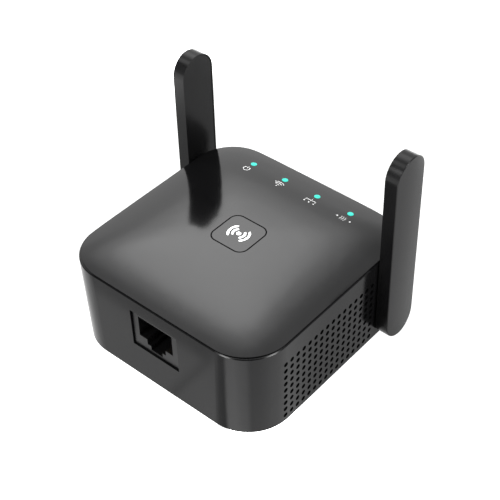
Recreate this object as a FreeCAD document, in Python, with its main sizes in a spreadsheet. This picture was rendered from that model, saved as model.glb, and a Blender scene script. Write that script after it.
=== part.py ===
"""Plug-in wifi range extender: a square housing with a domed cover, two swinging antennas,
a centre push button, a network socket in one wall and a folding two-blade mains plug.

Millimetres. +Z up through the domed cover, -Y out of the network socket, +X out of the right
vent wall. The origin is the middle of the flat base.
"""
import FreeCAD
import Part
import math
import os
import Sketcher
from FreeCAD import Placement, Rotation, Vector

doc = FreeCAD.newDocument("RangeExtender")
sheet = doc.addObject("Spreadsheet::Sheet", "Dimensions")

DRIVING = [
    # housing and cover
    ("body_half", 35.1), ("foot_half", 34.85), ("corner", 12.9), ("foot_corner", 13.7),
    ("seam_height", 29.3), ("foot_bevel", 0.2), ("rim_bevel", 0.25), ("wall", 2.0),
    ("seam_gap", 0.15), ("cover_half", 34.7), ("cover_corner", 13.2), ("cover_band", 0.2),
    ("crown_height", 3.05), ("crown_square", 5.8), ("crown_fall", 3.5), ("cover_wall", 1.8),
    ("lip_wall", 1.0), ("lip_depth", 2.0), ("lip_gap", 0.2), ("lid_boss_radius", 3.0),
    # vent grid
    ("vent_pitch", 2.5), ("vent_radius", 0.75), ("vent_columns", 16), ("vent_rows", 9),
    ("vent_low_side", -22.15), ("vent_low_height", 2.36),
    # push button and status lights
    ("button_half", 6.0), ("button_corner", 2.5), ("button_gap", 0.4), ("button_flange", 1.2),
    ("light_pitch", 12.0), ("light_row", 27.5), ("light_radius", 0.9), ("light_proud", 0.08),
    # network socket
    ("window_half", 8.5), ("window_low", 11.85), ("window_high", 24.75), ("jack_face", 34.45),
    ("jack_half", 8.3), ("jack_low", 12.05), ("jack_depth", 21.0), ("port_half", 6.15),
    ("port_low", 16.2), ("port_high", 23.35), ("latch_half", 3.4), ("latch_low", 14.4),
    ("key_half", 2.1), ("key_low", 12.95), ("port_depth", 13.5), ("contact_pitch", 1.02),
    # antennas
    ("antenna_gap", 0.3), ("antenna_thick", 4.35), ("antenna_radius", 6.15),
    ("antenna_length", 51.7), ("hinge_side", 23.8), ("hinge_height", 6.35),
    ("antenna_edge", 0.25), ("antenna_crown", 0.35), ("antenna_rim", 0.45),
    ("antenna_plate", 1.0), ("antenna_wall", 1.2), ("lead_radius", 0.55),
    ("hinge_radius", 2.6), ("hinge_clearance", 0.05), ("boss_depth", 4.2), ("boss_proud", 0.15),
    ("boss_radius", 4.2),
    # folding mains plug
    ("blade_pitch", 12.7), ("blade_width", 6.35), ("blade_thick", 1.5), ("blade_reach", 16.0),
    ("plug_side", -8.0), ("plug_height", 4.6), ("carrier_radius", 4.0), ("carrier_half", 9.5),
    ("axle_radius", 1.0), ("axle_grip", 1.8), ("well_gap", 0.4), ("well_wall", 2.0),
    ("well_height", 10.5),
    # boards and fixings
    ("board_half", 31.5), ("board_low", 25.0), ("board_thick", 1.2), ("post_x", 23.5),
    ("post_y", 25.5), ("post_radius", 3.4), ("screw_radius", 1.2), ("screw_head", 2.3),
    ("screw_seat", 20.6), ("power_low", 11.0), ("power_thick", 1.4), ("power_half", 24.0),
    ("power_front", -11.5), ("power_rear", 21.5), ("standoff_radius", 2.2),
    ("standoff_inset", 3.0), ("pilot_radius", 0.85), ("pilot_depth", 5.0),
]


class Size:
    """A length that knows its value and the sheet formula that gives it."""

    def __init__(self, value, text):
        self.value = value
        self.text = text

    def __add__(self, other):
        return combine(self, "+", other)

    def __radd__(self, other):
        return combine(other, "+", self)

    def __sub__(self, other):
        return combine(self, "-", other)

    def __rsub__(self, other):
        return combine(other, "-", self)

    def __mul__(self, other):
        return combine(self, "*", other)

    def __rmul__(self, other):
        return combine(other, "*", self)

    def __truediv__(self, other):
        return combine(self, "/", other)

    def __rtruediv__(self, other):
        return combine(other, "/", self)

    def __neg__(self):
        return combine(-1, "*", self)


def number(length):
    return length.value if isinstance(length, Size) else float(length)


def formula(length):
    return length.text if isinstance(length, Size) else "(%.12g)" % length


def combine(first, sign, second):
    one = number(first)
    two = number(second)
    value = {"+": one + two, "-": one - two, "*": one * two, "/": one / two if two else 0.0}[sign]
    return Size(value, "(%s %s %s)" % (formula(first), sign, formula(second)))


class Dimensions:
    """Every driving dimension as an attribute, written to a cell of the sheet."""

    def __init__(self, table):
        for row, (alias, value) in enumerate(table, start=1):
            cell = "A%d" % row
            sheet.set(cell, "%g" % value)
            sheet.setAlias(cell, alias)
            setattr(self, alias, Size(float(value), "Dimensions.%s" % alias))


d = Dimensions(DRIVING)
doc.recompute()


# ---------------------------------------------------------------- shared building blocks

def bind(item, prop, length):
    item.setExpression(prop, formula(length))


def vector(point):
    return Vector(*[number(value) for value in point])


def place(item, point, turn=None):
    """Put an object at a point whose coordinates stay tied to the sheet."""
    item.Placement = Placement(vector(point), turn or Rotation())
    for axis, length in zip("xyz", point):
        bind(item, "Placement.Base." + axis, length)
    return item


ALONG = {
    "x": Rotation(Vector(0, 1, 0), 90),
    "y": Rotation(Vector(1, 0, 0), -90),
    "z": Rotation(),
}


def box(name, low, high):
    """A box between two corners."""
    item = doc.addObject("Part::Box", name)
    for prop, start, end in zip(("Length", "Width", "Height"), low, high):
        bind(item, prop, end - start)
    return place(item, low)


def rod(name, radius, length, start, axis="z"):
    """A round bar from a start point along +X, +Y or +Z."""
    item = doc.addObject("Part::Cylinder", name)
    bind(item, "Radius", radius)
    bind(item, "Height", length)
    return place(item, start, ALONG[axis])


def fuse(name, items):
    item = doc.addObject("Part::MultiFuse", name)
    item.Shapes = items
    return item


def cut(name, base, tools):
    item = doc.addObject("Part::Cut", name)
    item.Base = base
    item.Tool = tools[0] if len(tools) == 1 else fuse(name + "_tools", tools)
    return item


def common(name, first, second):
    item = doc.addObject("Part::MultiCommon", name)
    item.Shapes = [first, second]
    return item


def group(name, items):
    """Identical loose pieces that share one node."""
    item = doc.addObject("Part::Compound", name)
    item.Links = items
    return item


def coded(name, shape):
    """A shape that no feature or primitive makes."""
    item = doc.addObject("Part::Feature", name)
    item.Shape = shape
    return item


def mirrored(name, source):
    """The same piece on the other side of the middle plane x = 0."""
    item = doc.addObject("Part::Mirroring", name)
    item.Source = source
    item.Normal = Vector(1, 0, 0)
    return item


def new_body(name):
    return doc.addObject("PartDesign::Body", name)


def origin_plane(body, role):
    return [f for f in body.Origin.OriginFeatures if f.Role == role][0]


def sketch_on(body, name, plane, offset):
    """An empty sketch on one of the body's own origin planes, moved along its normal."""
    sketch = body.newObject("Sketcher::SketchObject", name)
    sketch.AttachmentSupport = [(origin_plane(body, plane), "")]
    sketch.MapMode = "FlatFace"
    sketch.AttachmentOffset = Placement(Vector(0, 0, number(offset)), Rotation())
    bind(sketch, "AttachmentOffset.Base.z", offset)
    return sketch


def fix(sketch, kind, geometry, point, length):
    """Hold a point at a distance from the sketch's origin."""
    if abs(number(length)) < 1e-9:
        axis = -2 if kind == "DistanceX" else -1
        sketch.addConstraint(Sketcher.Constraint("PointOnObject", geometry, point, axis))
        return
    index = sketch.addConstraint(
        Sketcher.Constraint(kind, -1, 1, geometry, point, number(length)))
    sketch.setExpression("Constraints[%d]" % index, formula(length))


def draw_circle(sketch, centre, radius):
    geometry = sketch.addGeometry(
        Part.Circle(Vector(number(centre[0]), number(centre[1]), 0), Vector(0, 0, 1),
                    number(radius)), False)
    index = sketch.addConstraint(Sketcher.Constraint("Radius", geometry, number(radius)))
    sketch.setExpression("Constraints[%d]" % index, formula(radius))
    fix(sketch, "DistanceX", geometry, 3, centre[0])
    fix(sketch, "DistanceY", geometry, 3, centre[1])


def draw_rectangle(sketch, low, high):
    x0, y0 = number(low[0]), number(low[1])
    x1, y1 = number(high[0]), number(high[1])
    corners = [Vector(x0, y0, 0), Vector(x1, y0, 0), Vector(x1, y1, 0), Vector(x0, y1, 0)]
    first = sketch.GeometryCount
    for k in range(4):
        sketch.addGeometry(Part.LineSegment(corners[k], corners[(k + 1) % 4]), False)
    for k in range(4):
        sketch.addConstraint(
            Sketcher.Constraint("Coincident", first + k, 2, first + (k + 1) % 4, 1))
    for k, kind in enumerate(("Horizontal", "Vertical", "Horizontal", "Vertical")):
        sketch.addConstraint(Sketcher.Constraint(kind, first + k))
    fix(sketch, "DistanceX", first, 1, low[0])
    fix(sketch, "DistanceY", first, 1, low[1])
    fix(sketch, "DistanceX", first + 2, 1, high[0])
    fix(sketch, "DistanceY", first + 2, 1, high[1])


def draw_rounded(sketch, half_x, half_y, corner):
    """A rectangle about the origin with four equal round corners."""
    hx, hy, r = number(half_x), number(half_y), number(corner)
    quarter = math.pi / 2
    centres = [(hx - r, r - hy), (hx - r, hy - r), (r - hx, hy - r), (r - hx, r - hy)]
    outline = []
    for k, (cx, cy) in enumerate(centres):
        start = (k - 1) * quarter
        circle = Part.Circle(Vector(cx, cy, 0), Vector(0, 0, 1), r)
        outline.append(Part.ArcOfCircle(circle, start, start + quarter))
        nx, ny = centres[(k + 1) % 4]
        reach = Vector(math.cos(k * quarter), math.sin(k * quarter), 0) * r
        outline.append(Part.LineSegment(Vector(cx, cy, 0) + reach, Vector(nx, ny, 0) + reach))
    sketch.addGeometry(outline, False)
    for k in range(8):
        sketch.addConstraint(Sketcher.Constraint("Tangent", k, 2, (k + 1) % 8, 1))
    for k, kind in ((1, "Vertical"), (3, "Horizontal"), (5, "Vertical"), (7, "Horizontal")):
        sketch.addConstraint(Sketcher.Constraint(kind, k))
    for k in (2, 4, 6):
        sketch.addConstraint(Sketcher.Constraint("Equal", 0, k))
    index = sketch.addConstraint(Sketcher.Constraint("Radius", 0, r))
    sketch.setExpression("Constraints[%d]" % index, formula(corner))
    fix(sketch, "DistanceX", 2, 3, half_x - corner)
    fix(sketch, "DistanceY", 2, 3, half_y - corner)
    fix(sketch, "DistanceX", 6, 3, corner - half_x)
    fix(sketch, "DistanceY", 6, 3, corner - half_y)


def draw_polygon(sketch, points):
    """A closed outline of straight lines, every corner held by the sheet."""
    places = [Vector(number(x), number(y), 0) for x, y in points]
    count = len(points)
    for k in range(count):
        sketch.addGeometry(Part.LineSegment(places[k], places[(k + 1) % count]), False)
    for k in range(count):
        sketch.addConstraint(Sketcher.Constraint("Coincident", k, 2, (k + 1) % count, 1))
        fix(sketch, "DistanceX", k, 1, points[k][0])
        fix(sketch, "DistanceY", k, 1, points[k][1])


def pad(body, name, sketch, length, reverse=False):
    feature = body.newObject("PartDesign::Pad", name)
    feature.Profile = sketch
    feature.Reversed = reverse
    bind(feature, "Length", length)
    return feature


def pocket(body, name, sketch, length, reverse=False):
    """A cut that must take something away."""
    doc.recompute()
    before = body.Shape.Volume
    feature = body.newObject("PartDesign::Pocket", name)
    feature.Profile = sketch
    feature.Reversed = reverse
    bind(feature, "Length", length)
    doc.recompute()
    if feature.Shape.isNull() or body.Shape.Volume > before - 1e-3:
        raise RuntimeError("pocket %s cuts nothing" % name)
    return feature


def loft(body, kind, name, sketches):
    feature = body.newObject("PartDesign::" + kind, name)
    feature.Profile = sketches[0]
    feature.Sections = sketches[1:]
    feature.Ruled = True
    return feature


def rounded_plate(name, half_x, half_y, corner, low, height):
    """A flat plate with round corners, standing on z = low."""
    body = new_body(name)
    sketch = sketch_on(body, name + "_outline", "XY_Plane", low)
    draw_rounded(sketch, half_x, half_y, corner)
    pad(body, name + "_pad", sketch, height)
    return body


# ------------------------------------------------------------------- the lower housing

def housing_section(body, name, height, inset):
    """One level of the housing, drafted from foot to seam and stepped in by inset."""
    rise = height / d.seam_height
    half = d.foot_half + (d.body_half - d.foot_half) * rise - inset
    corner = d.foot_corner + (d.corner - d.foot_corner) * rise - inset
    sketch = sketch_on(body, name, "XY_Plane", height)
    draw_rounded(sketch, half, half, corner)
    return sketch


def make_lower_housing():
    body = new_body("lower_housing")
    outside = [
        housing_section(body, "foot", 0, d.foot_bevel),
        housing_section(body, "foot_edge", d.foot_bevel, 0),
        housing_section(body, "rim_edge", d.seam_height - d.rim_bevel, 0),
        housing_section(body, "rim", d.seam_height, d.rim_bevel),
    ]
    loft(body, "AdditiveLoft", "outer_wall", outside)
    inside = [
        housing_section(body, "floor", d.wall, d.wall),
        housing_section(body, "mouth", d.seam_height, d.wall),
    ]
    doc.recompute()
    loft(body, "SubtractiveLoft", "cavity", inside)

    posts = sketch_on(body, "posts", "XY_Plane", 0)
    for x, y in corner_places():
        draw_circle(posts, (x, y), d.post_radius)
    pad(body, "screw_posts", posts, d.board_low)
    standoffs = sketch_on(body, "standoffs", "XY_Plane", 0)
    for x, y in standoff_places():
        draw_circle(standoffs, (x, y), d.standoff_radius)
    pad(body, "power_standoffs", standoffs, d.power_low)
    well = sketch_on(body, "well", "XY_Plane", 0)
    well_half = d.carrier_half + d.well_gap + d.well_wall
    draw_rectangle(well, (-well_half, d.plug_side - d.carrier_radius - d.well_gap - d.well_wall),
                   (well_half, blade_tip() + d.well_wall))
    pad(body, "plug_well", well, d.well_height)
    for side, sign in (("right", 1), ("left", -1)):
        boss = sketch_on(body, "boss_" + side, "YZ_Plane", sign * boss_face())
        draw_circle(boss, (d.hinge_side, d.hinge_height), d.boss_radius)
        pad(body, "hinge_boss_" + side, boss, d.body_half + d.boss_proud - boss_face(),
            reverse=sign < 0)
        bore = sketch_on(body, "hinge_bore_" + side, "YZ_Plane", sign * (d.body_half + 1))
        draw_circle(bore, (d.hinge_side, d.hinge_height), d.hinge_radius + d.hinge_clearance)
        pocket(body, "hinge_hole_" + side, bore, d.body_half + 1.2 - boss_face(),
               reverse=sign < 0)

    seats = sketch_on(body, "screw_seats", "XY_Plane", 0)
    bores = sketch_on(body, "screw_bores", "XY_Plane", d.screw_seat)
    for x, y in corner_places():
        draw_circle(seats, (x, y), d.screw_head + 0.3)
        draw_circle(bores, (x, y), d.screw_radius + 0.25)
    pocket(body, "screw_wells", seats, d.screw_seat, reverse=True)
    pocket(body, "screw_holes", bores, d.board_low - d.screw_seat, reverse=True)
    pilots = sketch_on(body, "pilots", "XY_Plane", d.power_low - d.pilot_depth)
    for x, y in standoff_places():
        draw_circle(pilots, (x, y), d.pilot_radius)
    pocket(body, "pilot_holes", pilots, d.pilot_depth, reverse=True)

    window = sketch_on(body, "window", "XZ_Plane", d.body_half - 4)
    draw_rectangle(window, (-d.window_half, d.window_low), (d.window_half, d.window_high))
    pocket(body, "socket_window", window, 5.0, reverse=True)

    # the plug well opens downwards: one bay for the carrier and a slot for each blade
    bay = sketch_on(body, "bay", "XY_Plane", 0)
    reach = d.carrier_radius + d.well_gap
    draw_rectangle(bay, (-(d.carrier_half + d.well_gap), d.plug_side - reach),
                   (d.carrier_half + d.well_gap, d.plug_side + reach))
    pocket(body, "carrier_bay", bay, d.plug_height + reach, reverse=True)
    for side, sign in (("right", 1), ("left", -1)):
        middle = sign * d.blade_pitch / 2
        slot = sketch_on(body, "slot_" + side, "XY_Plane", 0)
        half = d.blade_thick / 2 + d.well_gap
        draw_rectangle(slot, (middle - half, d.plug_side),
                       (middle + half, blade_tip() + d.well_gap))
        pocket(body, "blade_slot_" + side, slot, d.plug_height + d.blade_width / 2 + d.well_gap,
               reverse=True)
    seat_half = d.carrier_half + d.axle_grip + 0.2
    axle = sketch_on(body, "axle_bore", "YZ_Plane", -seat_half)
    draw_circle(axle, (d.plug_side, d.plug_height), d.axle_radius + 0.04)
    pocket(body, "axle_holes", axle, 2 * seat_half, reverse=True)

    add_vents(body)
    return body


def add_vents(body):
    """One round vent in the right wall, repeated over the grid and mirrored to the left."""
    sketch = sketch_on(body, "vent", "YZ_Plane", d.body_half + 1)
    draw_circle(sketch, (d.vent_low_side, d.vent_low_height), d.vent_radius)
    first = pocket(body, "vent_hole", sketch, d.wall + 2)
    grid = body.newObject("PartDesign::MultiTransform", "vent_grid")
    grid.Originals = [first]
    steps = []
    for name, axis, count in (("vent_line", "H_Axis", d.vent_columns),
                              ("vent_stack", "V_Axis", d.vent_rows)):
        step = doc.addObject("PartDesign::LinearPattern", name)
        step.Direction = (sketch, [axis])
        step.Occurrences = int(number(count))
        bind(step, "Occurrences", count)
        bind(step, "Length", (count - 1) * d.vent_pitch)
        steps.append(step)
    mirror = doc.addObject("PartDesign::Mirrored", "vent_mirror")
    mirror.MirrorPlane = (origin_plane(body, "YZ_Plane"), [""])
    grid.Transformations = steps + [mirror]
    body.Tip = grid


def corner_places():
    """The four places of the screws that hold cover, board and housing together."""
    return [(sx * d.post_x, sy * d.post_y) for sx in (-1, 1) for sy in (-1, 1)]


def standoff_places():
    """The four places of the screws under the power board."""
    inset = d.standoff_inset
    return [(sx * (d.power_half - inset), y)
            for sx in (-1, 1) for y in (d.power_front + inset, d.power_rear - inset)]


# --------------------------------------------------------- the domed cover and its button

def crown_solid(name, drop):
    """Everything below the pillow-shaped crown, lowered by drop.

    The crown is flat in the middle and falls away towards the edge of a rounded square.
    """
    square = number(d.crown_square)
    fall = number(d.crown_fall)
    half = number(d.cover_half)
    edge = number(d.seam_height + d.seam_gap + d.cover_band)
    steps = 21
    reach = half + 2.0
    depth = 12.0

    def height(x, y):
        spread = (abs(x / half) ** square + abs(y / half) ** square) ** (fall / square)
        return edge + number(d.crown_height) * (1 - spread) - number(drop)

    ticks = [reach * (2 * k / (steps - 1) - 1) for k in range(steps)]
    surface = Part.BSplineSurface()
    surface.interpolate([[Vector(x, y, height(x, y)) for y in ticks] for x in ticks])
    return coded(name, surface.toShape().extrude(Vector(0, 0, -depth)))


def make_top_cover():
    low = d.seam_height + d.seam_gap
    outer = rounded_plate("cover_outline", d.cover_half, d.cover_half, d.cover_corner, low,
                          12.0)
    dome = common("cover_dome", outer, crown_solid("crown_outer", 0))
    inner_half = d.cover_half - d.cover_wall
    inner = rounded_plate("cover_hollow_outline", inner_half, inner_half,
                          d.cover_corner - d.cover_wall, low - 1, 12.0)
    hollow = common("cover_hollow", inner, crown_solid("crown_inner", d.cover_wall))
    lip_half = d.body_half - d.wall - d.lip_gap
    lip_low = low - d.lip_depth - d.seam_gap
    lip = rounded_plate("lip_outside", lip_half, lip_half, d.corner - d.wall - d.lip_gap,
                        lip_low, d.lip_depth + d.seam_gap + d.cover_band)
    lip_inside = rounded_plate("lip_inside", lip_half - d.lip_wall, lip_half - d.lip_wall,
                               d.corner - d.wall - d.lip_gap - d.lip_wall, lip_low - 1, 6.0)
    shell = fuse("cover_shell", [
        cut("cover_skin", dome, [hollow]),
        cut("cover_lip", lip, [lip_inside]),
    ])
    boss_low = d.board_low + d.board_thick + 0.1
    bosses = []
    openings = []
    for k, (x, y) in enumerate(corner_places()):
        bosses.append(rod("cover_boss_%d" % k, d.lid_boss_radius, 4.1, (x, y, boss_low)))
        openings.append(rod("cover_pilot_%d" % k, d.screw_radius + 0.05, 3.7,
                            (x, y, boss_low - 0.1)))
    for k, x in enumerate(light_places()):
        openings.append(rod("light_hole_%d" % k, d.light_radius + 0.05, 8.0,
                            (x, d.light_row, low)))
    half = d.button_half + d.button_gap
    openings.append(rounded_plate("button_hole", half, half, d.button_corner + d.button_gap,
                                  low, 8.0))
    return cut("top_cover", fuse("cover_with_bosses", [shell] + bosses), openings)


def light_places():
    return [(k - 1.5) * d.light_pitch for k in range(4)]


def button_levels():
    """Heights of the button's flange: its top, its underside and the end of its stem."""
    ceiling = d.seam_height + d.seam_gap + d.cover_band + d.crown_height - d.cover_wall
    return ceiling - 0.3, ceiling - 1.0, ceiling - 2.0


def make_button_cap():
    flange_top, flange_low, stem_low = button_levels()
    post = rounded_plate("cap_outline", d.button_half, d.button_half, d.button_corner,
                         flange_low, 8.0)
    cap = common("cap_crown", post, crown_solid("crown_cap", 0))
    half = d.button_half + d.button_flange
    flange = rounded_plate("cap_flange", half, half, d.button_corner + d.button_flange,
                           flange_low, flange_top - flange_low)
    stem = rod("cap_stem", 1.6, flange_low - stem_low, (0, 0, stem_low))
    return fuse("button_cap", [cap, flange, stem])


def make_light_guides():
    """A comb: one bar under the cover with a pin up into each status light's hole."""
    bar_low = d.seam_height - 1.1
    bar = box("guide_bar", (-1.5 * d.light_pitch - 1.0, d.light_row - 0.9, bar_low),
              (1.5 * d.light_pitch + 1.0, d.light_row + 0.9, bar_low + 0.9))
    pins = []
    for k, x in enumerate(light_places()):
        pins.append(rod("guide_pin_%d" % k, d.light_radius, 6.0, (x, d.light_row, bar_low)))
    comb = fuse("guide_comb", [bar] + pins)
    return common("light_guides", comb, crown_solid("crown_guides", -d.light_proud))


# ------------------------------------------------------------------ the network socket

def make_rj45_jack():
    """A moulded block, lower where it fills the window, with a stepped mouth for the plug
    body, its latch and the latch key."""
    body = new_body("rj45_jack")
    nose = sketch_on(body, "jack_nose", "XZ_Plane", d.jack_face)
    draw_rectangle(nose, (-d.jack_half, d.jack_low), (d.jack_half, d.window_high - 0.15))
    pad(body, "jack_nose_pad", nose, d.jack_depth, reverse=True)
    shoulder = d.body_half - d.wall - 0.3
    block = sketch_on(body, "jack_block", "XZ_Plane", shoulder)
    draw_rectangle(block, (-d.jack_half, d.jack_low), (d.jack_half, d.board_low))
    pad(body, "jack_block_pad", block, d.jack_depth - (d.jack_face - shoulder), reverse=True)
    mouth = sketch_on(body, "jack_mouth", "XZ_Plane", d.jack_face)
    draw_polygon(mouth, [
        (-d.port_half, d.port_high), (-d.port_half, d.port_low),
        (-d.latch_half, d.port_low), (-d.latch_half, d.latch_low),
        (-d.key_half, d.latch_low), (-d.key_half, d.key_low),
        (d.key_half, d.key_low), (d.key_half, d.latch_low),
        (d.latch_half, d.latch_low), (d.latch_half, d.port_low),
        (d.port_half, d.port_low), (d.port_half, d.port_high),
    ])
    pocket(body, "jack_cavity", mouth, d.port_depth)
    comb = sketch_on(body, "contact_comb", "XZ_Plane", d.jack_face - 3.2)
    draw_rectangle(comb, (-4.2, d.port_high - 0.1), (4.2, d.port_high + 0.55))
    pocket(body, "comb_recess", comb, d.port_depth - 3.2)
    return body


def make_rj45_contacts():
    """Eight sprung wires that slope down from the rear of the mouth's ceiling."""
    wide = 0.4
    thick = 0.28
    front = -number(d.jack_face) + 3.6
    rear = -number(d.jack_face) + number(d.port_depth) - 0.2
    high = number(d.port_high) + 0.3
    low = number(d.port_high) - 1.9
    side = [(front, high - 0.7), (front + 2.6, low), (rear, high)]
    outline = [Vector(0, y, z) for y, z in side]
    outline += [Vector(0, y, z - thick) for y, z in reversed(side)]
    profile = Part.Face(Part.makePolygon(outline + outline[:1]))
    wires = []
    for k in range(8):
        wire = profile.extrude(Vector(wide, 0, 0))
        wire.translate(Vector((k - 3.5) * number(d.contact_pitch) - wide / 2, 0, 0))
        wires.append(wire)
    return coded("rj45_contacts", Part.makeCompound(wires))


# ------------------------------------------------------------------------ the boards

def make_main_pcb():
    body = rounded_plate("main_pcb", d.board_half, d.board_half, d.corner - 3.5,
                         d.board_low, d.board_thick)
    holes = sketch_on(body, "board_holes", "XY_Plane", d.board_low)
    for x, y in corner_places():
        draw_circle(holes, (x, y), d.screw_radius + 0.25)
    pocket(body, "board_screw_holes", holes, d.board_thick, reverse=True)
    return body


def make_power_pcb():
    body = new_body("power_pcb")
    outline = sketch_on(body, "power_outline", "XY_Plane", d.power_low)
    draw_rectangle(outline, (-d.power_half, d.power_front), (d.power_half, d.power_rear))
    pad(body, "power_pad", outline, d.power_thick)
    holes = sketch_on(body, "power_holes", "XY_Plane", d.power_low)
    for x, y in standoff_places():
        draw_circle(holes, (x, y), 1.2)
    pocket(body, "power_screw_holes", holes, d.power_thick, reverse=True)
    return body


def chip(name, x, y, wide, deep, high, legs=0, pitch=1.27):
    """A package on top of the main board, leadless or with legs on two sides."""
    top = d.board_low + d.board_thick
    low = (x - wide / 2, y - deep / 2, top + 0.1)
    high = (x + wide / 2, y + deep / 2, top + 0.1 + high)
    if not legs:
        return box(name, low, high)
    parts = [box(name + "_package", low, high)]
    for k in range(legs):
        along = x + (k - (legs - 1) / 2) * pitch
        parts.append(box("%s_leg_%d" % (name, k), (along - 0.2, y - deep / 2 - 0.9, top),
                         (along + 0.2, y + deep / 2 + 0.9, top + 0.25)))
    return fuse(name, parts)


def make_shield_can():
    """A pressed lid over the radio, open underneath and pierced on top."""
    top = d.board_low + d.board_thick
    low = (-27.0, -20.0, top)
    high = (-9.0, -2.0, top + 2.0)
    outside = box("can_outside", low, high)
    tools = [box("can_inside", (low[0] + 0.25, low[1] + 0.25, top - 1.0),
                 (high[0] - 0.25, high[1] - 0.25, top + 1.75))]
    for k in range(16):
        x = low[0] + 3.0 + 4.0 * (k % 4)
        y = low[1] + 3.0 + 4.0 * (k // 4)
        tools.append(rod("can_hole_%d" % k, 0.5, 3.0, (x, y, top + 0.5)))
    return cut("rf_shield_can", outside, tools)


def make_tact_switch():
    top = d.board_low + d.board_thick
    case = box("switch_case", (-3.1, -3.1, top), (3.1, 3.1, top + 2.1))
    return cut("tact_switch", case, [rod("switch_bore", 1.78, 2.0, (0, 0, top + 0.5))])


def make_tact_plunger():
    stem_low = button_levels()[2]
    return rod("tact_plunger", 1.7, 1.6, (0, 0, stem_low - 1.6))


def make_status_leds():
    top = d.board_low + d.board_thick
    return group("status_leds", [
        box("led_%d" % k, (x - 0.8, d.light_row - 0.4, top),
            (x + 0.8, d.light_row + 0.4, top + 0.6))
        for k, x in enumerate(light_places())])


def make_board_header():
    """The pins that carry the low voltage from the power board up to the main board."""
    low = d.power_low + d.power_thick
    strip = box("header_strip", (15.0, 9.0, low), (17.5, 19.2, low + 2.5))
    holes = []
    pins = []
    for k in range(4):
        y = 10.3 + 2.54 * k
        holes.append(box("header_hole_%d" % k, (15.93, y - 0.32, low - 1),
                         (16.57, y + 0.32, low + 4)))
        pins.append(box("header_pin_%d" % k, (15.93, y - 0.32, low),
                        (16.57, y + 0.32, d.board_low)))
    return cut("board_header", strip, holes), group("header_pins", pins)


def make_ethernet_transformer():
    return box("ethernet_transformer", (-6.5, -11.3, d.board_low - 3.0), (6.5, -4.3, d.board_low))


def make_coax_connectors():
    """A small press-on plug for each antenna lead, under the main board."""
    plugs = []
    for side, sign in (("right", 1), ("left", -1)):
        low = d.board_low - 1.5
        plugs.append(rod("coax_plug_" + side, 1.3, 1.5, (sign * lead_column(), 12.0, low)))
    return group("coax_connectors", plugs)


# ------------------------------------------------------------------ the power supply

def make_transformer():
    """A low ferrite core with its wound and taped coil round the middle leg."""
    low = d.power_low + d.power_thick
    outside = box("core_outside", (-19.0, -6.0, low + 0.4), (-5.0, 6.0, low + 8.0))
    window = box("core_window", (-17.0, -7.0, low + 2.2), (-7.0, 7.0, low + 6.2))
    leg = box("core_leg", (-13.5, -6.0, low + 2.2), (-10.5, 6.0, low + 6.2))
    core = fuse("transformer_core", [cut("core_frame", outside, [window]), leg])
    winding = box("coil_outside", (-16.8, -7.8, low + 2.4), (-7.2, 7.8, low + 6.0))
    hole = box("coil_hole", (-13.6, -6.1, low + 2.1), (-10.4, 6.1, low + 6.3))
    return core, cut("transformer_winding", winding, [hole])


def make_capacitor(name, radius, length, start):
    """An electrolytic can lying on the power board."""
    can = rod(name + "_can", radius, length, start, "x")
    ring = rod(name + "_neck", radius + 1, 0.6, (start[0] + 1.6, start[1], start[2]), "x")
    core = rod(name + "_neck_core", radius - 0.35, 0.8,
               (start[0] + 1.5, start[1], start[2]), "x")
    return cut(name, can, [cut(name + "_groove", ring, [core])])


def make_fuse():
    low = d.power_low + d.power_thick
    tube = rod("fuse_tube", 1.3, 6.0, (-16.0, 17.0, low + 1.8), "x")
    caps = [rod("fuse_cap_%d" % k, 1.6, 1.4, (x, 17.0, low + 1.8), "x")
            for k, x in enumerate((-17.0, -10.4))]
    return fuse("fuse", [tube] + caps)


def make_filter_inductor():
    """A drum core with its winding between two flanges."""
    low = d.power_low + d.power_thick
    drum = [rod("drum_flange_0", 3.2, 1.0, (-2.5, 16.0, low)),
            rod("drum_core", 2.4, 4.0, (-2.5, 16.0, low + 1.0)),
            rod("drum_flange_1", 3.2, 1.0, (-2.5, 16.0, low + 5.0))]
    return fuse("filter_inductor", drum)


def power_chip(name, low_corner, size, legs):
    """A package with legs on the power board."""
    low = d.power_low + d.power_thick
    x, y = low_corner
    wide, deep, high = size
    parts = [box(name + "_package", (x, y, low + 0.1), (x + wide, y + deep, low + 0.1 + high))]
    for k in range(legs):
        along = x + wide * (k + 0.5) / legs
        parts.append(box("%s_leg_%d" % (name, k), (along - 0.25, y - 0.8, low),
                         (along + 0.25, y + deep + 0.8, low + 0.3)))
    return fuse(name, parts)


def make_insulation_sheet():
    low = d.power_low + d.power_thick + 8.6
    sheet_body = box("insulation_blank", (-24.0, -11.5, low), (24.0, 21.5, low + 0.3))
    slot = box("insulation_slot", (14.6, 8.6, low - 1), (17.9, 19.6, low + 1))
    return cut("insulation_sheet", sheet_body, [slot])


# ------------------------------------------------------------------ the folding plug

def blade_tip():
    """How far back the folded blades reach."""
    return d.plug_side + d.carrier_radius + d.blade_reach


def make_blade_carrier():
    """The moulded drum that turns in the well and holds both blades."""
    drum = rod("carrier_drum", d.carrier_radius, 2 * d.carrier_half,
               (-d.carrier_half, d.plug_side, d.plug_height), "x")
    flat = box("carrier_flat", (-d.carrier_half - 1, d.plug_side + d.carrier_radius - 0.6,
                                d.plug_height - 5.0),
               (d.carrier_half + 1, d.plug_side + d.carrier_radius + 1.0, d.plug_height + 5.0))
    tools = [flat, rod("carrier_bore", d.axle_radius, 2 * d.carrier_half + 2,
                       (-d.carrier_half - 1, d.plug_side, d.plug_height), "x")]
    for k, x in enumerate((-d.blade_pitch / 2, d.blade_pitch / 2)):
        tools.append(box("carrier_slot_%d" % k,
                         (x - d.blade_thick / 2, d.plug_side - 3.0,
                          d.plug_height - d.blade_width / 2),
                         (x + d.blade_thick / 2, d.plug_side + d.carrier_radius + 1.0,
                          d.plug_height + d.blade_width / 2)))
    return cut("blade_carrier", drum, tools)


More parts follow.
